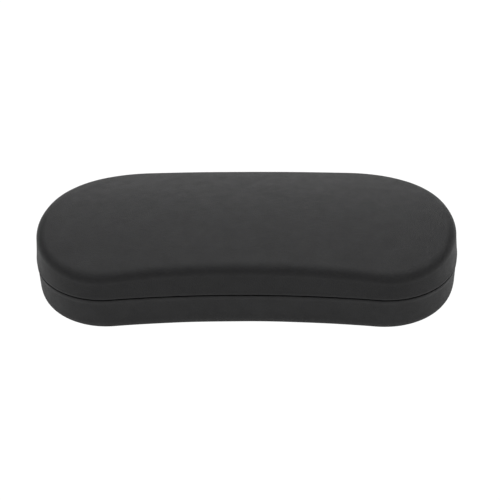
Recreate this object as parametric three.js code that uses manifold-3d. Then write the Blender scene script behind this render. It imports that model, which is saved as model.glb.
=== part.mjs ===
// A hard clamshell case for eyeglasses: two stamped steel pans covered in leatherette and
// lined with flocked trays, joined along the straight back edge by a knuckle hinge whose
// flat spring snaps the lid shut and open.
//
// Millimetres, +Z up. The origin is the middle of the footprint, on the surface that the
// case stands on. -Y is the front, with the concave edge that a thumb finds; +Y is the back.

import * as THREE from "three";
import { mergeVertices } from "three/addons/utils/BufferGeometryUtils.js";
import Module from "manifold-3d";

const wasm = await Module();
wasm.setup();

// ---------------------------------------------------------------- driving dimensions

const LENGTH = 160; // end to end
const DEPTH = 72; // back face to the front of the lobes, without the hinge barrel
const CORNER_RADIUS = 40; // the two back corners, in plan
const LOBE_RADIUS = 27.6; // the two front lobes, in plan
const FRONT_DIP = 3.1; // how far the concave front edge lies behind the lobes
const SEAM_HEIGHT = 15.3; // middle of the gap between base and lid
const SEAM_GAP = 0.4;
const TOTAL_HEIGHT = 31.6; // to the top of the domed lid

const LID_EDGE = { across: 5.2, up: 5.6 }; // rounding of the lid's top edge
const LID_FRONT_EDGE = { across: 3.4, up: 3.6 }; // the same along the front, where it is tighter
const EDGE_BLEND = { from: -24, to: 6 }; // the stretch of Y where one rounding becomes the other
const LID_DRAFT = 0.8; // the lid's wall leans in this much, but for the back, which is upright
const BASE_EDGE = { across: 5.6, up: 5.2 }; // rounding of the base's bottom edge
const DOME = { ends: 2.3, sides: 5.9 }; // fall of the lid's top at the ends and at the sides

const SKIN = 0.9; // leatherette
const STEEL = 0.6; // stamped pans
const FLAP = 0.7; // leatherette turned in over the steel's rim
const FLAP_HEIGHT = 3.6;
const LINER = 0.8; // flocked tray
const PAD = 1.2; // foam sheet under the tray's floor
const GLUE = 0.15; // glue line between layers
const LINER_BACK_ROOM = 1.7; // the trays' back walls stand this much further in, for the hinge

const PIN_RADIUS = 0.72;
const BORE_RADIUS = 0.8;
const BARREL_RADIUS = 1.75;
const AXIS_BEHIND_WALL = 0.25; // hinge axis to the outer back face
const LEAF = 0.8; // hinge plate
const BASE_LEG = 9.6; // how far each leaf reaches from the axis along its wall
const LID_LEG = 5.1;
const SPRING = 0.35;
const SPRING_FOOT = { half: 13, from: -9.2, to: -4.6 }; // half length along the axis, place below it
const SPRING_TONGUE = { half: 4.4, bendFrom: -4.2, bendTo: -2.2, top: 0.45 };
const CAM_RADIUS = 2.35;
const CAM_TURN = 100; // degrees between the cam's two flats, the lid's travel

const RIVET = { shank: 0.8, hole: 0.9, head: 1.4, headHeight: 0.6, tail: 1.2, tailHeight: 0.28 };
const POCKET = { depth: 0.3, room: 0.25 }; // in the leatherette, round each rivet's tail
const RIVET_X = [-28.6, -9.9, 9.9, 28.6];
const BASE_RIVET_DROP = 6.4; // below the axis
const LID_RIVET_RISE = 3.4; // above the axis

// Where each knuckle starts and ends along the axis, on the +X side.
const BASE_KNUCKLES = [[5.5, 14.3], [24.2, 33]];
const LID_KNUCKLES = [[14.6, 23.9]];
const CAM_HALF = 5.2;
const HINGE_HALF = 33;
const NOTCH = 2.15; // the walls are cut back this far each side of the axis
const END_PLAY = 0.6;

// ---------------------------------------------------------------- derived places

const BACK_Y = (DEPTH - AXIS_BEHIND_WALL - BARREL_RADIUS) / 2;
const AXIS_Y = BACK_Y + AXIS_BEHIND_WALL;
const FRONT_Y = BACK_Y - DEPTH;
const MID_Y = (BACK_Y + FRONT_Y) / 2;
const LID_HEIGHT = TOTAL_HEIGHT - SEAM_HEIGHT - SEAM_GAP / 2;
const BASE_HEIGHT = SEAM_HEIGHT - SEAM_GAP / 2;

// Depth of each layer's outer and inner face below the outside of the case.
const SKIN_IN = SKIN;
const STEEL_OUT = SKIN_IN + GLUE;
const STEEL_IN = STEEL_OUT + STEEL;
const FLAP_OUT = STEEL_IN + GLUE;
const FLAP_IN = FLAP_OUT + FLAP;
const LINER_OUT = FLAP_IN + GLUE;
const LINER_IN = LINER_OUT + LINER;
const PAD_OUT = STEEL_IN + GLUE;
const PAD_IN = PAD_OUT + PAD;
const FLOOR_OUT = PAD_IN + GLUE;
const FLOOR_IN = FLOOR_OUT + LINER;
const LINER_RIM = 0.6; // the tray's edge stands this far behind the rim
const LINER_LIP = 0.25; // the tray's edge reaches this much further out than its wall
const PAD_INSET = 8.2;
const TIGHTEST = 1.2; // smallest rounding of an inner layer
const DOME_SHARES = [0.3, 0.55, 0.8]; // rings across the lid's dome, as shares of its width

// The hinge section is drawn in u and w: u runs forward from the axis, w runs up from it.
const LEG_OUT = AXIS_BEHIND_WALL + FLAP_OUT; // leaf's face against the steel wall
const LEG_IN = LEG_OUT + LEAF;
const SPRING_OUT = LEG_IN + 0.05;

// Points along each stretch of the right half's outline, and around each edge.
const BACK_STEPS = 1;
const CORNER_STEPS = [8, 2];
const LOBE_STEPS = [6, 1];
const FRONT_STEPS = 3;
const EDGE_STEPS = 4;

const rad = THREE.MathUtils.degToRad;

// ---------------------------------------------------------------- materials

const surface = (color, roughness, metalness = 0) =>
  new THREE.MeshStandardMaterial({ color, roughness, metalness });
const leatherette = () => surface(0x2b2b2c, 0.62);
const flock = () => surface(0x3a3a3d, 0.95);
const foam = () => surface(0xd8d6cf, 0.95);
const tinplate = () => surface(0x9b9da0, 0.38, 1);
const blackSteel = () => surface(0x26272a, 0.42, 0.6);
const brightSteel = () => surface(0xb9bcc0, 0.25, 1);

// ---------------------------------------------------------------- outline of the case in plan

// Centres of the arcs that make the right half: corner, lobe and the concave front, each
// tangent to the next.
function outlineCentres() {
  const corner = new THREE.Vector2(LENGTH / 2 - CORNER_RADIUS, BACK_Y - CORNER_RADIUS);
  const step = CORNER_RADIUS - LOBE_RADIUS;
  const fall = (FRONT_Y + LOBE_RADIUS - corner.y) / step;
  const joinAngle = Math.asin(fall);
  const lobe = new THREE.Vector2(corner.x + step * Math.cos(joinAngle), corner.y + step * fall);
  const dipY = FRONT_Y + FRONT_DIP;
  const rise = lobe.y - dipY;
  const frontRadius = (lobe.x ** 2 + rise ** 2 - LOBE_RADIUS ** 2) / (2 * (LOBE_RADIUS - rise));
  const front = new THREE.Vector2(0, dipY - frontRadius);
  const towardsFront = Math.atan2(front.y - lobe.y, front.x - lobe.x);
  return { corner, lobe, front, frontRadius, joinAngle, towardsFront };
}
const CENTRES = outlineCentres();

const arcPoints = (centre, radius, from, to, steps) =>
  new THREE.EllipseCurve(centre.x, centre.y, radius, radius, from, to, from > to).getPoints(steps);

// The closed outline, moved inwards by inset. Every inset gives the same number of points.
function outline(inset) {
  const { corner, lobe, front, frontRadius, joinAngle, towardsFront } = CENTRES;
  const quarter = Math.PI / 2;
  const half = [
    ...new THREE.LineCurve(
      new THREE.Vector2(0, BACK_Y - inset),
      new THREE.Vector2(corner.x, BACK_Y - inset),
    ).getPoints(BACK_STEPS).slice(0, -1),
    ...arcPoints(corner, CORNER_RADIUS - inset, quarter, 0, CORNER_STEPS[0]).slice(0, -1),
    ...arcPoints(corner, CORNER_RADIUS - inset, 0, joinAngle, CORNER_STEPS[1]).slice(0, -1),
    ...arcPoints(lobe, LOBE_RADIUS - inset, joinAngle, -quarter, LOBE_STEPS[0]).slice(0, -1),
    ...arcPoints(lobe, LOBE_RADIUS - inset, -quarter, towardsFront, LOBE_STEPS[1]).slice(0, -1),
    ...arcPoints(front, frontRadius + inset, towardsFront + Math.PI, quarter, FRONT_STEPS),
  ];
  const mirrored = half.slice(1, -1).reverse().map((p) => new THREE.Vector2(-p.x, p.y));
  return [...half, ...mirrored];
}

// Moves the back of a ring forward, fading to nothing at the middle of the case.
function squeezeBack(points, room) {
  if (!room) return points;
  const furthest = Math.max(...points.map((p) => p.y));
  return points.map((p) => {
    const share = THREE.MathUtils.smoothstep(p.y, 0, furthest);
    return new THREE.Vector2(p.x, p.y - room * share);
  });
}

const domeFall = (x, y) =>
  DOME.ends * (x / (LENGTH / 2)) ** 2 + DOME.sides * ((y - MID_Y) / (DEPTH / 2)) ** 2;

// ---------------------------------------------------------------- pans

// A half of the case seen from its rim: "up" is the distance from the rim towards the
// outside of the half, so the lid and the base share all of this.
const LID = {
  height: LID_HEIGHT,
  edge: LID_EDGE,
  frontEdge: LID_FRONT_EDGE,
  draft: LID_DRAFT,
  dome: domeFall,
  side: 1,
};
const BASE = {
  height: BASE_HEIGHT,
  edge: BASE_EDGE,
  frontEdge: BASE_EDGE,
  draft: 0,
  dome: () => 0,
  side: -1,
};

const zOf = (half, up) => SEAM_HEIGHT + half.side * (SEAM_GAP / 2 + up);

// A ring of the outline at one inset and height, level at the rim and domed at the top.
function ring(half, inset, up, { domed = false, room = 0, shrink = 1 } = {}) {
  return squeezeBack(outline(inset), room).map((p) => {
    const x = p.x * shrink;
    const y = MID_Y + (p.y - MID_Y) * shrink;
    return new THREE.Vector3(x, y, zOf(half, up - (domed ? half.dome(x, y) : 0)));
  });
}

// A ring that depends on the edge's rounding: made for both roundings and blended towards
// the front's.
function edgeRing(half, ringFor) {
  const [rest, front] = [half.edge, half.frontEdge].map(ringFor);
  return rest.map((p, i) => {
    const share = 1 - THREE.MathUtils.smoothstep(p.y, EDGE_BLEND.from, EDGE_BLEND.to);
    return p.clone().lerp(front[i], share);
  });
}

// A ring part of the way up a leaning wall that stands at this inset at the rim.
function wallRing(half, wall, up) {
  const foot = ring(half, wall, SKIN);
  const shoulder = edgeRing(half, (edge) =>
    ring(half, wall + half.draft, half.height - edge.up, { domed: true, room: -half.draft }));
  return foot.map((p, i) => {
    const share = (zOf(half, up) - p.z) / (shoulder[i].z - p.z);
    return p.clone().lerp(shoulder[i], share);
  });
}

// Rings of one face of a pan, from its middle out to the foot of its wall.
function panFace(half, { wall, floor, rim, room = 0 }) {
  const top = half.height - floor;
  const ringAt = (angle, shrink = 1) => edgeRing(half, (edge) => {
    const across = Math.max(edge.across - wall, TIGHTEST);
    const up = Math.max(edge.up - floor, TIGHTEST);
    const inset = wall + half.draft + across * (1 - Math.cos(angle));
    const level = top - up + up * Math.sin(angle);
    return ring(half, inset, level, { domed: true, room: room - half.draft, shrink });
  });
  const rings = half.side > 0 ? DOME_SHARES.map((shrink) => ringAt(Math.PI / 2, shrink)) : [];
  for (let i = EDGE_STEPS; i >= 0; i--) {
    rings.push(ringAt((i / EDGE_STEPS) * (Math.PI / 2)));
  }
  rings.push(ring(half, wall, rim, { room }));
  return { rings, middle: new THREE.Vector3(0, MID_Y, zOf(half, top)) };
}

// The closed surface through a stack of rings, ending in a point at each end.
function skinThrough(first, rings, last) {
  const count = rings[0].length;
  const points = [first, ...rings.flat(), last];
  const at = (r, i) => 1 + r * count + (i % count);
  const index = [];
  for (let i = 0; i < count; i++) {
    index.push(0, at(0, i), at(0, i + 1));
    for (let r = 0; r + 1 < rings.length; r++) {
      index.push(at(r, i), at(r + 1, i), at(r + 1, i + 1));
      index.push(at(r, i), at(r + 1, i + 1), at(r, i + 1));
    }
    index.push(points.length - 1, at(rings.length - 1, i + 1), at(rings.length - 1, i));
  }
  return new THREE.BufferGeometry().setFromPoints(points).setIndex(index);
}

function panBetween(outer, inner, between = []) {
  const rings = [...outer.rings, ...between, ...inner.rings.reverse()];
  return solid(skinThrough(outer.middle, rings, inner.middle));
}

// ---------------------------------------------------------------- solids and cuts

// A closed geometry as a manifold-3d solid, with its faces turned outwards.
function solid(geometry) {
  const plain = geometry.clone();
  plain.deleteAttribute("normal");
  plain.deleteAttribute("uv");
  const merged = mergeVertices(plain, 1e-4);
  const vertProperties = new Float32Array(merged.attributes.position.array);
  const triVerts = new Uint32Array(merged.index.array);
  const make = () => new wasm.Manifold(new wasm.Mesh({ numProp: 3, vertProperties, triVerts }));
  const made = make();
  if (made.volume() > 0) return made;
  for (let i = 0; i < triVerts.length; i += 3) {
    [triVerts[i + 1], triVerts[i + 2]] = [triVerts[i + 2], triVerts[i + 1]];
  }
  return make();
}

function geometryOf(body) {
  const { vertProperties, triVerts } = body.getMesh();
  const geometry = new THREE.BufferGeometry();
  geometry.setAttribute("position", new THREE.BufferAttribute(vertProperties, 3));
  geometry.setIndex(new THREE.BufferAttribute(triVerts, 1));
  geometry.computeVertexNormals();
  return geometry;
}

function box(xRange, yRange, zRange) {
  const size = [xRange, yRange, zRange].map(([low, high]) => high - low);
  const middle = [xRange, yRange, zRange].map(([low, high]) => (low + high) / 2);
  return solid(new THREE.BoxGeometry(...size).translate(...middle));
}

// Profile points (radius, place along the axis) turned into a solid about a line along Y.
// Places grow towards the front of the case, from the outer back face.
function turnedFromBack(profile, x, z, segments = 12) {
  const lathe = new THREE.LatheGeometry(profile.map(([r, s]) => new THREE.Vector2(r, s)), segments);
  return solid(lathe.rotateX(Math.PI).translate(x, BACK_Y, z));
}

// A section drawn in u and w, run along X from one place to another.
function alongHinge(section, from, to) {
  const basis = new THREE.Matrix4().makeBasis(
    new THREE.Vector3(0, -1, 0),
    new THREE.Vector3(0, 0, 1),
    new THREE.Vector3(-1, 0, 0),
  );
  const settings = { depth: to - from, bevelEnabled: false, curveSegments: 18 };
  const run = new THREE.ExtrudeGeometry(section, settings);
  return solid(run.applyMatrix4(basis).translate(to, AXIS_Y, SEAM_HEIGHT));
}

const bothSides = (ranges) => ranges.flatMap(([from, to]) => [[from, to], [-to, -from]]);
const join = (bodies) => bodies.reduce((whole, body) => whole.add(body));
const cut = (body, tools) => tools.reduce((left, tool) => left.subtract(tool), body);

// ---------------------------------------------------------------- rivets

function rivetBody(x, z, headFrom) {
  const tailTo = STEEL_OUT - 0.03;
  const dome = [0.5, 1].map((share) => {
    const angle = share * (Math.PI / 2);
    return [RIVET.head * Math.cos(angle), headFrom + 0.2 + (RIVET.headHeight - 0.2) * Math.sin(angle)];
  });
  return turnedFromBack([
    [0, tailTo - RIVET.tailHeight],
    [RIVET.tail - 0.15, tailTo - RIVET.tailHeight],
    [RIVET.tail, tailTo],
    [RIVET.shank, tailTo],
    [RIVET.shank, headFrom],
    [RIVET.head, headFrom],
    [RIVET.head, headFrom + 0.2],
    ...dome.map(([r, s], i) => [i === dome.length - 1 ? 0 : r, s]),
  ], x, z);
}

const holeAt = (x, z, from, to) =>
  turnedFromBack([[0, from], [RIVET.hole, from], [RIVET.hole, to], [0, to]], x, z);

// Room for a rivet's tail in the inner face of the leatherette.
function tailPocket(x, z) {
  const floor = SKIN - POCKET.depth;
  const radius = RIVET.tail + POCKET.room;
  return turnedFromBack([[0, floor], [radius, floor], [radius, STEEL_OUT], [0, STEEL_OUT]], x, z);
}

const rivetPlaces = (half) => {
  const z = SEAM_HEIGHT + (half.side > 0 ? LID_RIVET_RISE : -BASE_RIVET_DROP);
  return RIVET_X.map((x) => ({ x, z }));
};

// ---------------------------------------------------------------- covers, pans, trays, pads

// The hinge's slot through the back wall of one half, deep enough for the barrel.
function hingeSlot(inTo, reach) {
  return box(
    [-HINGE_HALF - END_PLAY, HINGE_HALF + END_PLAY],
    [BACK_Y - inTo, BACK_Y + 1],
    [SEAM_HEIGHT - reach, SEAM_HEIGHT + reach],
  );
}

function cover(half) {
  const outer = panFace(half, { wall: 0, floor: 0, rim: 0.5 });
  const inner = panFace(half, { wall: SKIN_IN, floor: SKIN_IN, rim: SKIN });
  const turnedEdge = [
    ring(half, 0.15, 0.15),
    ring(half, 0.5, 0),
    ring(half, FLAP_IN - 0.35, 0),
    ring(half, FLAP_IN, 0.35),
    ring(half, FLAP_IN, SKIN),
    wallRing(half, FLAP_IN, FLAP_HEIGHT),
    wallRing(half, FLAP_OUT, FLAP_HEIGHT),
    ring(half, FLAP_OUT, SKIN),
  ];
  const flapSlot = box(
    [-HINGE_HALF - END_PLAY, HINGE_HALF + END_PLAY],
    [BACK_Y - FLAP_IN - GLUE, BACK_Y - STEEL_IN - 0.05],
    [SEAM_HEIGHT - FLAP_HEIGHT - 1, SEAM_HEIGHT + FLAP_HEIGHT + 1],
  );
  const pockets = rivetPlaces(half).map(({ x, z }) => tailPocket(x, z));
  return cut(panBetween(outer, inner, turnedEdge), [hingeSlot(LINER_OUT, NOTCH), flapSlot, ...pockets]);
}

function steelPan(half) {
  const rim = SKIN + GLUE;
  const outer = panFace(half, { wall: STEEL_OUT, floor: STEEL_OUT, rim });
  const inner = panFace(half, { wall: STEEL_IN, floor: STEEL_IN, rim });
  const holes = rivetPlaces(half).map(({ x, z }) => holeAt(x, z, SKIN, FLAP_OUT));
  return cut(panBetween(outer, inner), [hingeSlot(LINER_OUT, NOTCH + GLUE), ...holes]);
}

function tray(half) {
  const room = LINER_BACK_ROOM;
  const wall = LINER_OUT + LINER_LIP;
  const outer = panFace(half, { wall, floor: FLOOR_OUT, rim: LINER_RIM + LINER, room });
  const inner = panFace(half, { wall: wall + LINER, floor: FLOOR_IN, rim: LINER_RIM, room });
  const lip = [wallRing(half, LINER_OUT, LINER_RIM + LINER), ring(half, LINER_OUT, LINER_RIM)];
  return cut(panBetween(outer, inner, lip), [hingeSlot(wall + LINER + room + 1, NOTCH + 0.5)]);
}

function pad(half) {
  const sheet = (floor) => [...DOME_SHARES, 1].map((shrink) =>
    ring(half, PAD_INSET, half.height - floor, { domed: true, room: -half.draft, shrink }));
  const middle = (floor) => new THREE.Vector3(0, MID_Y, zOf(half, half.height - floor));
  const rings = [...sheet(PAD_OUT), ...sheet(PAD_IN).reverse()];
  return solid(skinThrough(middle(PAD_OUT), rings, middle(PAD_IN)));
}

// ---------------------------------------------------------------- hinge

// Section of a leaf through a knuckle: leg, strap and curled barrel with its bore. It is
// drawn for the base, where the leg hangs down; the lid's is the same, turned over.
function knuckleSection(leg) {
  const strapTop = -(BARREL_RADIUS - LEAF);
  const strapMeets = Math.asin(strapTop / BARREL_RADIUS);
  const section = new THREE.Shape();
  section.moveTo(LEG_IN, -leg);
  section.lineTo(LEG_IN, strapTop);
  section.absarc(0, 0, BARREL_RADIUS, strapMeets, 1.5 * Math.PI, false);
  section.lineTo(LEG_OUT, -BARREL_RADIUS);
  section.lineTo(LEG_OUT, -leg);
  section.closePath();
  section.holes.push(new THREE.Path().absarc(0, 0, BORE_RADIUS, 0, 2 * Math.PI, true));
  return section;
}

const rectangle = (uRange, wRange) => new THREE.Shape([
  new THREE.Vector2(uRange[0], wRange[0]),
  new THREE.Vector2(uRange[1], wRange[0]),
  new THREE.Vector2(uRange[1], wRange[1]),
  new THREE.Vector2(uRange[0], wRange[1]),
]);

// The cam's outline in u and w with the lid shut: round behind, with one flat that faces the
// spring when the lid is shut and one that faces it when the lid is open.
function camSection() {
  const turn = rad(CAM_TURN);
  const radiusAt = (angle) => {
    if (angle > 0 || angle < -turn) return BARREL_RADIUS;
    const fromFlat = Math.min(-angle, angle + turn);
    return Math.min(CAM_RADIUS, BARREL_RADIUS / Math.cos(fromFlat));
  };
  const steps = 36;
  const points = [];
  for (let i = 0; i < steps; i++) {
    const angle = -turn + (i / steps) * 2 * Math.PI;
    const wrapped = angle > Math.PI ? angle - 2 * Math.PI : angle;
    const radius = radiusAt(wrapped);
    points.push(new THREE.Vector2(radius * Math.cos(wrapped), radius * Math.sin(wrapped)));
  }
  const section = new THREE.Shape(points);
  section.holes.push(new THREE.Path().absarc(0, 0, BORE_RADIUS, 0, 2 * Math.PI, true));
  return section;
}

function baseLeaf() {
  const strapTop = -(BARREL_RADIUS - LEAF);
  const leg = alongHinge(rectangle([LEG_OUT, LEG_IN], [-BASE_LEG, strapTop]), -HINGE_HALF, HINGE_HALF);
  const knuckles = bothSides(BASE_KNUCKLES).map(([from, to]) =>
    alongHinge(knuckleSection(BASE_LEG), from, to));
  const springWindow = alongHinge(rectangle([0, LEG_IN + 1], [-4.2, 1]), -CAM_HALF - 0.1, CAM_HALF + 0.1);
  const holes = rivetPlaces(BASE).map(({ x, z }) => holeAt(x, z, FLAP_OUT - 1, FLAP_OUT + LEAF + 1));
  return cut(join([leg, ...knuckles]), [springWindow, ...holes]);
}

function lidLeaf() {
  const strap = BARREL_RADIUS - LEAF;
  const turnOver = (body) => body.mirror([0, 0, 1]).translate([0, 0, 2 * SEAM_HEIGHT]);
  const leg = alongHinge(rectangle([LEG_OUT, LEG_IN], [strap, LID_LEG]), -HINGE_HALF, HINGE_HALF);
  const knuckles = [...bothSides(LID_KNUCKLES), [-CAM_HALF, CAM_HALF]].map(([from, to]) =>
    turnOver(alongHinge(knuckleSection(LID_LEG), from, to)));
  const cam = alongHinge(camSection(), -CAM_HALF, CAM_HALF);
  const holes = rivetPlaces(LID).map(({ x, z }) => holeAt(x, z, FLAP_OUT - 1, FLAP_OUT + LEAF + 1));
  return cut(join([leg, ...knuckles, cam]), holes);
}

function pin() {
  const half = HINGE_HALF + END_PLAY / 2;
  const chamfer = 0.25;
  const profile = [
    [0, -half],
    [PIN_RADIUS - chamfer, -half],
    [PIN_RADIUS, -half + chamfer],
    [PIN_RADIUS, half - chamfer],
    [PIN_RADIUS - chamfer, half],
    [0, half],
  ].map(([r, s]) => new THREE.Vector2(r, s));
  const lathe = new THREE.LatheGeometry(profile, 16).rotateZ(Math.PI / 2);
  return solid(lathe.translate(0, AXIS_Y, SEAM_HEIGHT));
}

// A flat spring on the base leaf: a wide foot under two rivets and a tongue that leans back
// through the leaf's window to bear on the cam.
function snapSpring() {
  const foot = SPRING_FOOT;
  const tongue = { ...SPRING_TONGUE, lean: SPRING_OUT - CAM_RADIUS - 0.1 };
  const back = (w, u) => new THREE.Vector2(u, w);
  const section = new THREE.Shape([
    back(foot.from, SPRING_OUT),
    back(foot.from, SPRING_OUT + SPRING),
    back(tongue.bendFrom, SPRING_OUT + SPRING),
    back(tongue.bendTo, SPRING_OUT + SPRING - tongue.lean),
    back(tongue.top, SPRING_OUT + SPRING - tongue.lean),
    back(tongue.top, SPRING_OUT - tongue.lean),
    back(tongue.bendTo, SPRING_OUT - tongue.lean),
    back(tongue.bendFrom, SPRING_OUT),
  ]);
  const blade = alongHinge(section, -tongue.half, tongue.half);
  const plate = alongHinge(
    rectangle([SPRING_OUT, SPRING_OUT + SPRING], [foot.from, foot.to]), -foot.half, foot.half);
  const holes = rivetPlaces(BASE).map(({ x, z }) => holeAt(x, z, FLAP_OUT, FLAP_OUT + LEAF + 2));
  return cut(blade.add(plate), holes);
}

// ---------------------------------------------------------------- assembly

const eyeglassesCase = new THREE.Group();
eyeglassesCase.name = "eyeglasses_case";

function addPiece(name, body, material) {
  const mesh = new THREE.Mesh(geometryOf(body), material);
  mesh.name = name;
  eyeglassesCase.add(mesh);
}

for (const [name, half] of [["base", BASE], ["lid", LID]]) {
  addPiece(`${name}_cover`, cover(half), leatherette());
  addPiece(`${name}_shell`, steelPan(half), tinplate());
  addPiece(`${name}_pad`, pad(half), foam());
  addPiece(`${name}_liner`, tray(half), flock());
}

addPiece("base_hinge_leaf", baseLeaf(), blackSteel());
addPiece("lid_hinge_leaf", lidLeaf(), blackSteel());
addPiece("hinge_pin", pin(), brightSteel());
addPiece("snap_spring", snapSpring(), brightSteel());

rivetPlaces(BASE).forEach(({ x, z }, i) => {
  const underSpring = Math.abs(x) < SPRING_FOOT.half;
  const headFrom = FLAP_OUT + LEAF + (underSpring ? SPRING + 0.1 : 0.03);
  addPiece(`base_rivet_${i + 1}`, rivetBody(x, z, headFrom), brightSteel());
});
rivetPlaces(LID).forEach(({ x, z }, i) => {
  addPiece(`lid_rivet_${i + 1}`, rivetBody(x, z, FLAP_OUT + LEAF + 0.03), brightSteel());
});

export default eyeglassesCase;
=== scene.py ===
"""Looks of the hard eyeglasses case: leatherette, flocked trays, foam and the steel hinge."""

import math

import bpy
from mathutils import Matrix, Vector, noise


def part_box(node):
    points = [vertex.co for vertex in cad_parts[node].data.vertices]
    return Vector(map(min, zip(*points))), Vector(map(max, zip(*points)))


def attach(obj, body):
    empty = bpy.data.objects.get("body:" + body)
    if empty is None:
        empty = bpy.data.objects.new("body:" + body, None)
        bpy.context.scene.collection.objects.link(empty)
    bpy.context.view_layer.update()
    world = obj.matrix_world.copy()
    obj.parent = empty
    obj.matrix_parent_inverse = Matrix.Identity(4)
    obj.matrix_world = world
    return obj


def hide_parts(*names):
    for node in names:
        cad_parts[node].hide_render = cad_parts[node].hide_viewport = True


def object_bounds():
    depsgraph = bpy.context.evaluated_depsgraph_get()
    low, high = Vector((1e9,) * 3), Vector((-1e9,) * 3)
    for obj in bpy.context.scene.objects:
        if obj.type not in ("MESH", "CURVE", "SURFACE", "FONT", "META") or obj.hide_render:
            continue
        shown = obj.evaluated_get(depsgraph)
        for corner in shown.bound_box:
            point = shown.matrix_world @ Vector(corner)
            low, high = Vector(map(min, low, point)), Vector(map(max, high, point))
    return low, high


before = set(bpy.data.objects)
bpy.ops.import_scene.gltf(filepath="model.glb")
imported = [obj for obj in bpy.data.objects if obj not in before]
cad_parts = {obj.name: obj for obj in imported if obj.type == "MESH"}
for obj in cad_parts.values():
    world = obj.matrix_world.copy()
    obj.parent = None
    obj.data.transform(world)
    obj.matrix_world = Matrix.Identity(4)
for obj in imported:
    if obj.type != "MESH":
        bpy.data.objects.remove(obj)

CAD_BOX = [list(corner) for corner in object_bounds()]
MM = 0.001

# ---------------------------------------------------------------- sizes, in millimetres


def box_mm(node):
    low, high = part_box(node)
    return low / MM, high / MM


LID_LOW, LID_HIGH = box_mm("lid_cover")
BASE_LOW, BASE_HIGH = box_mm("base_cover")
LENGTH = LID_HIGH.x - LID_LOW.x
BACK_Y, FRONT_Y = BASE_HIGH.y, BASE_LOW.y
MID_Y = (BACK_Y + FRONT_Y) / 2
DEPTH = BACK_Y - FRONT_Y
UNDERSIDE = CAD_BOX[0][2] / MM

CORNER_RADIUS, LOBE_RADIUS = 40.0, 27.6  # the outline's back corners and front lobes, in plan
FRONT_DIP = 3.1  # how far the concave front lies behind the lobes
SEAM_GAP = 0.4
EDGE_BLEND = (-24.0, 6.0)  # the stretch of Y where the lid's front rounding becomes the other
TIGHTEST = 1.2  # least rounding left on the edge of an inner face
DOME_SPACING = 0.8  # below 1, the rings of a dome lie closer together towards its edge

SKIN, FLAP, STEEL = 0.9, 0.7, 0.6  # leatherette, leatherette turned in at the rim, pan
LINER, PAD, GLUE = 0.8, 1.2, 0.15  # flocked tray, foam sheet, glue line between layers
INSIDE_PAN = SKIN + STEEL + 2 * GLUE
FLAP_IN = INSIDE_PAN + FLAP
FLAP_HEIGHT = 3.6
LIP_OUT = FLAP_IN + GLUE
TRAY_OUT = LIP_OUT + 0.25
TRAY_IN = TRAY_OUT + LINER
TRAY_RIM = 0.6  # height of the tray's lip above the leatherette's rim
TRAY_BACK_ROOM = 1.7  # the trays' back walls stand this much further in, for the hinge
PAD_IN = INSIDE_PAN + PAD
FLOOR_OUT = PAD_IN + GLUE
PAD_INSET = 8.2
HINGE_END = 33.6
NOTCH = 2.15  # the walls are cut back this far each side of the hinge's axis

# Each pair is an inset and a height above the rim. The leatherette's rim comes down the outside as a slight
# bead, goes round it, and runs inwards across the turned-in edge.
BEAD_TOP = 1.9
BEAD = [(-0.05, 1.6), (-0.13, 1.25), (-0.2, 0.9), (-0.22, 0.6), (-0.2, 0.3), (-0.15, 0.1),
        (-0.05, 0.02), (0.1, 0.0), (1.1, 0.05), (1.7, 0.02), (2.1, 0.06), (2.38, 0.2)]
PINCH_AT, PINCH = 0.5, 0.2  # at the hinge, what lies further in than this is squeezed to this share
SLIVER = 0.01  # keeps rings apart where the hinge leaves no room for the turned-in edge

# The tray's lip, in insets from LIP_OUT outside and from TRAY_IN inside, and heights above TRAY_RIM.
LIP_OUTSIDE = [(0.12, 0.7), (0, 0.55), (0, 0.2), (0.08, 0.05), (0.25, 0)]
LIP_INSIDE = [(-0.35, 0), (-0.12, 0.08), (-0.02, 0.22)]

# The foam's cut edge, in insets from PAD_INSET and depths below its face, and the rings across its faces.
FOAM_EDGE = [(0.3, 0), (0.05, 0.15), (0, 0.4)]
FOAM_SHARES = [0.3, 0.6, 0.85]

WAVES = [(16, 0.055, Vector((0, 0, 0))), (6, 0.018, Vector((7, 3, 1)))]  # length, depth, offset
RIVET_SWELL, RIVET_SPREAD = 0.16, 1.5  # height of a rivet's swelling, and square of its width


class Half:
    """One half of the case; up is measured from its rim towards its outside.

    edge and front_edge are roundings, across and up; draft is how far the wall leans in; dome is how far
    the face falls towards its ends and towards its sides.
    """

    def __init__(self, name, rim, height, side, edge, front_edge, draft, dome):
        self.name, self.rim, self.height, self.side = name, rim, height, side
        self.edge, self.front_edge, self.draft, self.dome = edge, front_edge, draft, dome

    def z(self, up):
        return self.rim + self.side * up

    def fall(self, x, y):
        return self.dome[0] * (x / (LENGTH / 2)) ** 2 + self.dome[1] * ((y - MID_Y) / (DEPTH / 2)) ** 2

    def edge_ring(self, ring_for):
        """A ring made for each of the two roundings, blended from one to the other."""
        rest, front = ring_for(*self.edge), ring_for(*self.front_edge)
        return [a.lerp(b, 1 - smoothstep(*EDGE_BLEND, a.y)) for a, b in zip(rest, front)]


LID = Half("lid", LID_LOW.z, LID_HIGH.z - LID_LOW.z, 1,
           edge=(5.2, 5.6), front_edge=(3.4, 3.6), draft=0.8, dome=(2.3, 5.9))
BASE = Half("base", BASE_HIGH.z, BASE_HIGH.z - BASE_LOW.z, -1,
            edge=(5.6, 5.2), front_edge=(5.6, 5.2), draft=0, dome=(0, 0))


def smoothstep(low, high, x):
    t = min(max((x - low) / (high - low), 0), 1)
    return t * t * (3 - 2 * t)


# ---------------------------------------------------------------- camera

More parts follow.
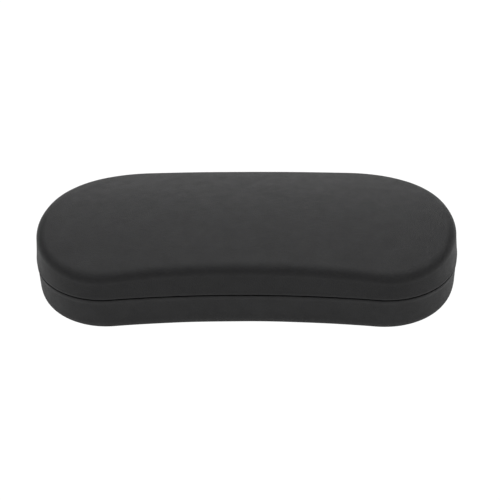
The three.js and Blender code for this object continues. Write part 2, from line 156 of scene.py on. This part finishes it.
def aim_camera():
    """The photograph's viewpoint, which was fitted to its outline together with the shape."""
    eye = Vector((15.57, -357.81, 276.49)) * MM
    ahead = Vector((-0.03207, 0.80222, -0.59616)).normalized()
    roll = -0.02423
    level = ahead.cross(Vector((0, 0, 1))).normalized()
    above = level.cross(ahead)
    right = level * math.cos(roll) + above * math.sin(roll)
    up = above * math.cos(roll) - level * math.sin(roll)
    camera = bpy.data.objects.new("camera", bpy.data.cameras.new("camera"))
    camera.data.lens = 82.41
    camera.data.sensor_width = 36
    camera.data.clip_start = 0.01
    turn = Matrix((right, up, -ahead)).transposed()
    camera.matrix_world = Matrix.Translation(eye) @ turn.to_4x4()
    bpy.context.scene.collection.objects.link(camera)
    bpy.context.scene.camera = camera


# ---------------------------------------------------------------- outline in plan

def arc(centre, radius, start, end, steps):
    return [
        (centre[0] + radius * math.cos(a), centre[1] + radius * math.sin(a))
        for a in (start + (end - start) * i / steps for i in range(steps))
    ]


def outline(inset, fine=True):
    """The closed outline moved inwards; every inset gives the same number of points."""
    corner = (LENGTH / 2 - CORNER_RADIUS, BACK_Y - CORNER_RADIUS)
    step = CORNER_RADIUS - LOBE_RADIUS
    fall = (FRONT_Y + LOBE_RADIUS - corner[1]) / step
    join = math.asin(fall)
    lobe = (corner[0] + step * math.cos(join), corner[1] + step * fall)
    dip_y = FRONT_Y + FRONT_DIP
    rise = lobe[1] - dip_y
    front_radius = (lobe[0] ** 2 + rise**2 - LOBE_RADIUS**2) / (2 * (LOBE_RADIUS - rise))
    front = (0, dip_y - front_radius)
    towards = math.atan2(front[1] - lobe[1], front[0] - lobe[0])
    steps = (44, 36, 8, 22, 4, 18) if fine else (20, 22, 6, 14, 2, 10)
    quarter = math.pi / 2
    half = [(corner[0] * i / steps[0], BACK_Y - inset) for i in range(steps[0])]
    half += arc(corner, CORNER_RADIUS - inset, quarter, 0, steps[1])
    half += arc(corner, CORNER_RADIUS - inset, 0, join, steps[2])
    half += arc(lobe, LOBE_RADIUS - inset, join, -quarter, steps[3])
    half += arc(lobe, LOBE_RADIUS - inset, -quarter, towards, steps[4])
    half += arc(front, front_radius + inset, towards + math.pi, quarter, steps[5])
    half.append((0, front[1] + front_radius + inset))
    return half + [(-x, y) for x, y in reversed(half[1:-1])]


def ring(half, inset, up, domed=False, room=0.0, shrink=1.0, fine=True):
    """A ring of points at one inset and height, which may both be functions of the point's place.

    domed lets it fall as the dome does, room moves its back inwards, and shrink draws it to the middle.
    """
    base = outline(inset if not callable(inset) else 0.0, fine)
    if callable(inset):
        inner = outline(1.0, fine)
        base = [
            (x + (u - x) * inset(x, y), y + (v - y) * inset(x, y))
            for (x, y), (u, v) in zip(base, inner)
        ]
    back = max(y for _, y in base)
    points = []
    for x, y in base:
        y -= room * smoothstep(0, back, y)
        x, y = x * shrink, MID_Y + (y - MID_Y) * shrink
        level = up(x, y) if callable(up) else up
        points.append(Vector((x, y, half.z(level - (half.fall(x, y) if domed else 0)))))
    return points


def between(low, high, share):
    return [a.lerp(b, share) for a, b in zip(low, high)]


def at_hinge(x, y):
    """1 where the hinge's slot is, 0 away from it, with a short rise at the slot's ends."""
    return 1 - smoothstep(HINGE_END - 0.3, HINGE_END + 1.1, abs(x)) if y > 0 else 0.0


# ---------------------------------------------------------------- meshes

def piece(name, rings, first, last, body, material, sharp=40):
    """A closed mesh through a stack of rings with a point at each end."""
    count = len(rings[0])
    points = [first, *(p for r in rings for p in r), last]

    def at(r, i):
        return 1 + r * count + i % count

    faces = []
    for i in range(count):
        faces.append((0, at(0, i), at(0, i + 1)))
        for r in range(len(rings) - 1):
            faces.append((at(r, i), at(r + 1, i), at(r + 1, i + 1), at(r, i + 1)))
        faces.append((len(points) - 1, at(len(rings) - 1, i + 1), at(len(rings) - 1, i)))
    mesh = bpy.data.meshes.new(name)
    mesh.from_pydata([p * MM for p in points], [], faces)
    if signed_volume(mesh) < 0:
        mesh.flip_normals()
    mesh.shade_smooth()
    mesh.set_sharp_from_angle(angle=math.radians(sharp))
    mesh.materials.append(material)
    made = bpy.data.objects.new(name, mesh)
    bpy.context.scene.collection.objects.link(made)
    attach(made, body)
    return made


def signed_volume(mesh):
    total = 0.0
    for polygon in mesh.polygons:
        corners = [mesh.vertices[i].co for i in polygon.vertices]
        for a, b in zip(corners[1:], corners[2:]):
            total += corners[0].dot(a.cross(b))
    return total / 6


def face_rings(half, wall, floor, foot, room=0.0, dome_steps=6, edge_steps=10, wall_steps=4):
    """Rings of one face of a pan, from its middle out and down to its foot."""
    top = half.height - floor

    def ring_at(angle, share=1.0):
        def ring_for(across, rise):
            across, rise = max(across - wall, TIGHTEST), max(rise - floor, TIGHTEST)
            inset = wall + half.draft + across * (1 - math.cos(angle))
            level = top - rise + rise * math.sin(angle)
            return ring(half, inset, level, True, room - half.draft, share)

        return half.edge_ring(ring_for)

    quarter = math.pi / 2
    rings = [ring_at(quarter, (i / dome_steps) ** DOME_SPACING) for i in range(1, dome_steps)]
    rings += [ring_at(i / edge_steps * quarter) for i in range(edge_steps, -1, -1)]
    shoulder = rings[-1]
    for i in range(1, wall_steps):
        rings.append(between(shoulder, foot, i / wall_steps))
    rings.append(foot)
    return rings, Vector((0, MID_Y, half.z(top)))


def slot_lift(extra=0.0):
    """How far the rim is cut back at the hinge."""
    return lambda x, y: (NOTCH - SEAM_GAP / 2 + extra) * at_hinge(x, y)


def lifted(up, lift):
    """A height with the hinge's slot added to it."""
    return lambda x, y: up + lift(x, y)


def wall_ring(half, inset, up):
    """A ring part of the way up the leaning wall."""
    foot = ring(half, inset, SKIN)
    high = (lambda x, y: inset(x, y) + half.draft) if callable(inset) else inset + half.draft
    shoulder = half.edge_ring(
        lambda across, rise: ring(half, high, half.height - rise, True, -half.draft))
    return [
        a.lerp(b, (half.z(up(a.x, a.y) if callable(up) else up) - a.z) / (b.z - a.z))
        for a, b in zip(foot, shoulder)
    ]


def thinned(inset, to):
    """An inset that closes up to another where the hinge is."""
    return lambda x, y: inset + (to - inset) * at_hinge(x, y)


def rivet_places(half):
    found = []
    for i in range(1, 5):
        low, high = box_mm(f"{half.name}_rivet_{i}")
        found.append(((low.x + high.x) / 2, (low.z + high.z) / 2))
    return found


def cover(half, material):
    """Leatherette stretched over the pan and turned in over its rim."""
    lift = slot_lift()
    foot = ring(half, 0.0, lifted(BEAD_TOP, lift))
    outer, middle = face_rings(
        half, 0.0, 0.0, foot, dome_steps=16, edge_steps=14, wall_steps=14)
    rim = []
    for inset, up in BEAD:
        closed = thinned(inset, min(inset, PINCH_AT + PINCH * (inset - PINCH_AT)))
        rim.append(ring(half, closed, lifted(up, lift)))
    rim += [
        ring(half, thinned(FLAP_IN, SKIN + 5 * SLIVER), lifted(SKIN / 2, lift)),
        ring(half, thinned(FLAP_IN, SKIN + 4 * SLIVER), lifted(SKIN + 0.2, lift)),
        wall_ring(half, thinned(FLAP_IN, SKIN + 3 * SLIVER), FLAP_HEIGHT),
        wall_ring(half, thinned(INSIDE_PAN, SKIN + 2 * SLIVER), FLAP_HEIGHT),
        ring(half, thinned(INSIDE_PAN, SKIN + SLIVER), lifted(SKIN + 0.1, lift)),
    ]
    inner, inner_middle = face_rings(
        half, SKIN, SKIN, ring(half, SKIN, lifted(SKIN, lift)), edge_steps=5, wall_steps=2)
    for r in outer:
        settle_leather(half, r)
    made = piece(f"{half.name}_leatherette", [*outer, *rim, *reversed(inner)], middle,
                 inner_middle, half.name, material)
    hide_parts(f"{half.name}_cover")
    return made


def settle_leather(half, points):
    """Slight unevenness of the glued skin, fading out at the rim, and rivets' ends under it at the back."""
    rivets = rivet_places(half)
    for p in points:
        edge = smoothstep(0.5, 2.5, abs(p.z - half.rim))
        wave = sum(noise.noise(p / length + offset) * depth for length, depth, offset in WAVES)
        out = Vector((p.x / LENGTH, (p.y - MID_Y) / DEPTH, half.side * 0.35)).normalized()
        p += out * wave * edge
        if p.y > BACK_Y - 1.5:
            swell = sum(math.exp(-((p.x - x) ** 2 + (p.z - z) ** 2) / RIVET_SPREAD) for x, z in rivets)
            p.y += RIVET_SWELL * swell
        p.z = max(p.z, UNDERSIDE)


def tray(half, material):
    """Flocked tray with a small lip that covers the turned-in leatherette's edge."""
    lift = slot_lift(0.5)
    room = TRAY_BACK_ROOM
    lip_foot, wall_foot = TRAY_RIM + LIP_OUTSIDE[0][1], TRAY_RIM + 0.5
    outer, middle = face_rings(
        half, TRAY_OUT, FLOOR_OUT, ring(half, TRAY_OUT, lifted(lip_foot, lift), room=room),
        room=room, edge_steps=5, wall_steps=3)
    lip = [ring(half, LIP_OUT + inset, lifted(TRAY_RIM + up, lift)) for inset, up in LIP_OUTSIDE]
    lip += [ring(half, TRAY_IN + inset, lifted(TRAY_RIM + up, lift), room=room)
            for inset, up in LIP_INSIDE]
    inner, inner_middle = face_rings(
        half, TRAY_IN, FLOOR_OUT + LINER, ring(half, TRAY_IN, lifted(wall_foot, lift), room=room),
        room=room, dome_steps=12, edge_steps=8, wall_steps=6)
    made = piece(f"{half.name}_tray", [*outer, *lip, *reversed(inner)], middle, inner_middle,
                 half.name, material)
    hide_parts(f"{half.name}_liner")
    return made


def foam_sheet(half, material):
    """Die-cut foam under the tray's floor, with slightly rounded edges."""
    face_inset = FOAM_EDGE[0][0]

    def at(inset, floor, shrink=1.0):
        return ring(half, PAD_INSET + inset, half.height - floor, True, -half.draft, shrink, fine=False)

    rings = [at(face_inset, INSIDE_PAN, share) for share in FOAM_SHARES]
    rings += [at(inset, INSIDE_PAN + below) for inset, below in FOAM_EDGE]
    rings += [at(inset, PAD_IN - below) for inset, below in reversed(FOAM_EDGE)]
    rings += [at(face_inset, PAD_IN, share) for share in reversed(FOAM_SHARES)]
    first = Vector((0, MID_Y, half.z(half.height - INSIDE_PAN)))
    last = Vector((0, MID_Y, half.z(half.height - PAD_IN)))
    made = piece(f"{half.name}_foam", rings, first, last, half.name, material)
    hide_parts(f"{half.name}_pad")
    return made


# ---------------------------------------------------------------- materials

NOISE_LOW, NOISE_HIGH = 0.3, 0.7  # most of a noise texture's values lie between these


class Surface:
    """A principled surface with a few helpers to wire detail into it."""

    def __init__(self, name, **values):
        self.material = bpy.data.materials.new(name)
        self.material.use_nodes = True
        self.tree = self.material.node_tree
        self.shader = self.tree.nodes["Principled BSDF"]
        for key, value in values.items():
            self.shader.inputs[key.replace("_", " ")].default_value = value
        self.place = self.node("ShaderNodeTexCoord").outputs["Object"]
        self.bumped = None

    def node(self, kind, **settings):
        made = self.tree.nodes.new(kind)
        for key, value in settings.items():
            setattr(made, key, value)
        return made

    def link(self, source, target):
        self.tree.links.new(source, target)

    def stretched(self, scale):
        """The place on the surface with each axis scaled, so that a noise there turns into streaks."""
        mapping = self.node("ShaderNodeMapping")
        mapping.inputs["Scale"].default_value = scale
        self.link(self.place, mapping.inputs["Vector"])
        return mapping.outputs["Vector"]

    def noise(self, size_mm, detail=2.0, rough=0.5, place=None):
        made = self.node("ShaderNodeTexNoise")
        made.inputs["Scale"].default_value = 1 / (size_mm * MM)
        made.inputs["Detail"].default_value = detail
        made.inputs["Roughness"].default_value = rough
        self.link(place or self.place, made.inputs["Vector"])
        return made.outputs["Fac"]

    def cells(self, size_mm):
        made = self.node("ShaderNodeTexVoronoi")
        made.inputs["Scale"].default_value = 1 / (size_mm * MM)
        self.link(self.place, made.inputs["Vector"])
        return made.outputs["Distance"]

    def warped(self, size_mm, amount_mm):
        """The place on the surface, pushed about so that what is drawn there looks irregular."""
        push = self.node("ShaderNodeTexNoise")
        push.inputs["Scale"].default_value = 1 / (size_mm * MM)
        push.inputs["Detail"].default_value = 1.0  # coarse, so that outlines stay smooth
        self.link(self.place, push.inputs["Vector"])
        moved = self.node("ShaderNodeVectorMath", operation="MULTIPLY_ADD")
        self.link(push.outputs["Color"], moved.inputs[0])
        moved.inputs[1].default_value = (amount_mm * MM,) * 3
        self.link(self.place, moved.inputs[2])
        return moved.outputs["Vector"]

    def pebbles(self, size_mm, crease=0.16):
        """Flat-topped pebbles with rounded creases between them, as pressed into leatherette."""
        edges = self.node("ShaderNodeTexVoronoi", feature="DISTANCE_TO_EDGE")
        edges.inputs["Scale"].default_value = 1 / (size_mm * MM)
        self.link(self.warped(size_mm * 1.5, size_mm * 0.8), edges.inputs["Vector"])
        tops = self.node("ShaderNodeMapRange", interpolation_type="SMOOTHSTEP")
        tops.inputs["From Max"].default_value = crease
        self.link(edges.outputs["Distance"], tops.inputs["Value"])
        return tops.outputs["Result"]

    def spread(self, source, low, high, target):
        """Takes one of the shader's values from low to high with a noise."""
        made = self.node("ShaderNodeMapRange", clamp=True)
        made.inputs["From Min"].default_value = NOISE_LOW
        made.inputs["From Max"].default_value = NOISE_HIGH
        made.inputs["To Min"].default_value = low
        made.inputs["To Max"].default_value = high
        self.link(source, made.inputs["Value"])
        self.link(made.outputs["Result"], self.shader.inputs[target])

    def colours(self, source, low, high, start=NOISE_LOW, end=NOISE_HIGH):
        """Takes the colour from low to high as the source goes from start to end."""
        made = self.node("ShaderNodeValToRGB")
        made.color_ramp.elements[0].position = start
        made.color_ramp.elements[0].color = (*low, 1)
        made.color_ramp.elements[1].position = end
        made.color_ramp.elements[1].color = (*high, 1)
        self.link(source, made.inputs["Fac"])
        self.link(made.outputs["Color"], self.shader.inputs["Base Color"])

    def bump(self, source, depth_mm, strength=1.0):
        """Adds relief on top of any that is there already."""
        made = self.node("ShaderNodeBump")
        made.inputs["Strength"].default_value = strength
        made.inputs["Distance"].default_value = depth_mm * MM
        self.link(source, made.inputs["Height"])
        if self.bumped:
            self.link(self.bumped, made.inputs["Normal"])
        self.bumped = made.outputs["Normal"]
        self.link(self.bumped, self.shader.inputs["Normal"])


def leatherette():
    made = Surface("black_leatherette", Roughness=0.56, IOR=1.47)
    made.colours(made.noise(9, 4, 0.6), (0.0150, 0.0150, 0.0158), (0.0195, 0.0195, 0.0203))
    made.spread(made.noise(5, 5, 0.65), 0.50, 0.60, "Roughness")
    made.bump(made.noise(2.6, 3), 0.06)
    made.bump(made.pebbles(0.72), 0.036)
    made.bump(made.cells(0.3), 0.02)
    made.bump(made.noise(0.12, 2), 0.01)
    return made.material


def flock():
    made = Surface("charcoal_flock", Roughness=0.95, IOR=1.4)
    made.shader.inputs["Sheen Weight"].default_value = 0.35
    made.shader.inputs["Sheen Roughness"].default_value = 0.5
    made.shader.inputs["Sheen Tint"].default_value = (0.75, 0.75, 0.8, 1)
    made.colours(made.noise(3.5, 5, 0.7), (0.016, 0.016, 0.018), (0.034, 0.034, 0.038))
    made.bump(made.noise(1.8, 4, 0.7), 0.08, 0.6)
    made.bump(made.noise(0.22, 3, 0.7), 0.10)
    return made.material


def foam():
    made = Surface("white_foam", Roughness=0.95, IOR=1.3)
    made.colours(made.noise(1.5, 4), (0.62, 0.61, 0.57), (0.74, 0.73, 0.69))
    made.bump(made.cells(0.5), 0.12, 0.8)
    return made.material


def pressed_steel():
    made = Surface("pressed_tinplate", Metallic=1.0, Roughness=0.35)
    made.colours(made.noise(6, 5), (0.44, 0.45, 0.46), (0.56, 0.57, 0.58))
    made.spread(made.noise(2.5, 5), 0.28, 0.46, "Roughness")
    made.bump(made.noise(0.25, 3, place=made.stretched((0.06, 1, 1))), 0.006, 0.6)
    return made.material


def black_oxide():
    made = Surface("black_oxide_steel", Metallic=0.85, Roughness=0.42)
    made.colours(made.noise(0.9, 6, 0.7), (0.020, 0.020, 0.022), (0.085, 0.085, 0.088), 0.45, 0.72)
    made.spread(made.noise(0.7, 4), 0.32, 0.52, "Roughness")
    made.bump(made.noise(0.3, 4), 0.008, 0.6)
    return made.material


def bright_steel(name, tint, scratch_mm=0.12):
    made = Surface(name, Metallic=1.0, Roughness=0.25)
    dark = tuple(value * 0.82 for value in tint)
    made.colours(made.noise(1.2, 5), dark, tint)
    made.spread(made.noise(0.8, 4), 0.18, 0.34, "Roughness")
    made.bump(made.noise(scratch_mm, 3, place=made.stretched((0.08, 1, 1))), 0.004, 0.6)
    return made.material


def dress(material, *nodes):
    """Gives the CAD's own meshes a material."""
    for name in nodes:
        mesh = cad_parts[name].data
        mesh.materials.clear()
        mesh.materials.append(material)


# ---------------------------------------------------------------- stage and light, in metres

WHITE = 1.05  # floor and background as the camera sees them
FLOOR_LIGHT, SKY_LIGHT = 0.23, 0.05  # what they give the object instead
FLOOR_REACH = 6.0
FLOOR_BELOW = 0.00002
MIDDLE = Vector((0, 0, 0.02))


def show_white(tree, lit, white, output):
    """Shows the camera plain white where light and reflections meet another shader."""
    ray = tree.nodes.new("ShaderNodeLightPath")
    mix = tree.nodes.new("ShaderNodeMixShader")
    white.inputs["Strength"].default_value = WHITE
    tree.links.new(ray.outputs["Is Camera Ray"], mix.inputs["Fac"])
    tree.links.new(lit.outputs[0], mix.inputs[1])
    tree.links.new(white.outputs[0], mix.inputs[2])
    tree.links.new(mix.outputs["Shader"], tree.nodes[output].inputs["Surface"])


def stage():
    corners = [(-1, -1), (1, -1), (1, 1), (-1, 1)]
    mesh = bpy.data.meshes.new("floor")
    mesh.from_pydata([(x * FLOOR_REACH, y * FLOOR_REACH, 0) for x, y in corners], [], [(0, 1, 2, 3)])
    floor = bpy.data.objects.new("floor", mesh)
    bpy.context.scene.collection.objects.link(floor)
    floor.location.z = CAD_BOX[0][2] - FLOOR_BELOW
    made = Surface("white_floor", Roughness=0.9)
    made.shader.inputs["Base Color"].default_value = (0.8, 0.8, 0.8, 1)
    made.shader.inputs["Specular IOR Level"].default_value = 0.0
    made.shader.inputs["Emission Color"].default_value = (1, 1, 1, 1)
    made.shader.inputs["Emission Strength"].default_value = FLOOR_LIGHT
    show_white(made.tree, made.shader, made.node("ShaderNodeEmission"), "Material Output")
    floor.data.materials.append(made.material)


def softbox(name, place, size, power):
    """A rectangular light that faces the case."""
    data = bpy.data.lights.new(name, "AREA")
    data.shape = "RECTANGLE"
    data.size, data.size_y = size
    data.energy = power
    light = bpy.data.objects.new(name, data)
    light.location = place
    light.rotation_euler = (MIDDLE - Vector(place)).to_track_quat("-Z", "Y").to_euler()
    bpy.context.scene.collection.objects.link(light)


def daylight():
    world = bpy.data.worlds.new("studio")
    bpy.context.scene.world = world
    world.use_nodes = True
    sky = world.node_tree.nodes["Background"]
    sky.inputs["Color"].default_value = (1, 1, 1, 1)
    sky.inputs["Strength"].default_value = SKY_LIGHT
    shown = world.node_tree.nodes.new("ShaderNodeBackground")
    show_white(world.node_tree, sky, shown, "World Output")
    softbox("overhead", place=(0, 0, 1.0), size=(2.4, 1.2), power=12.6)
    softbox("back", place=(0, 1.2, 0.5), size=(1.6, 0.6), power=4.6)


# ---------------------------------------------------------------- assembly

aim_camera()
leather, velvet, sponge = leatherette(), flock(), foam()
for half in (BASE, LID):
    cover(half, leather)
    tray(half, velvet)
    foam_sheet(half, sponge)
dress(pressed_steel(), "base_shell", "lid_shell")
dress(black_oxide(), "base_hinge_leaf", "lid_hinge_leaf")
dress(bright_steel("bright_pin_steel", (0.62, 0.63, 0.64)), "hinge_pin")
dress(bright_steel("blued_spring_steel", (0.30, 0.34, 0.42)), "snap_spring")
dress(bright_steel("nickel_rivets", (0.66, 0.64, 0.60), 0.3),
      *(f"{half}_rivet_{i}" for half in ("base", "lid") for i in range(1, 5)))
stage()
daylight()
bpy.context.scene.view_settings.view_transform = "Standard"
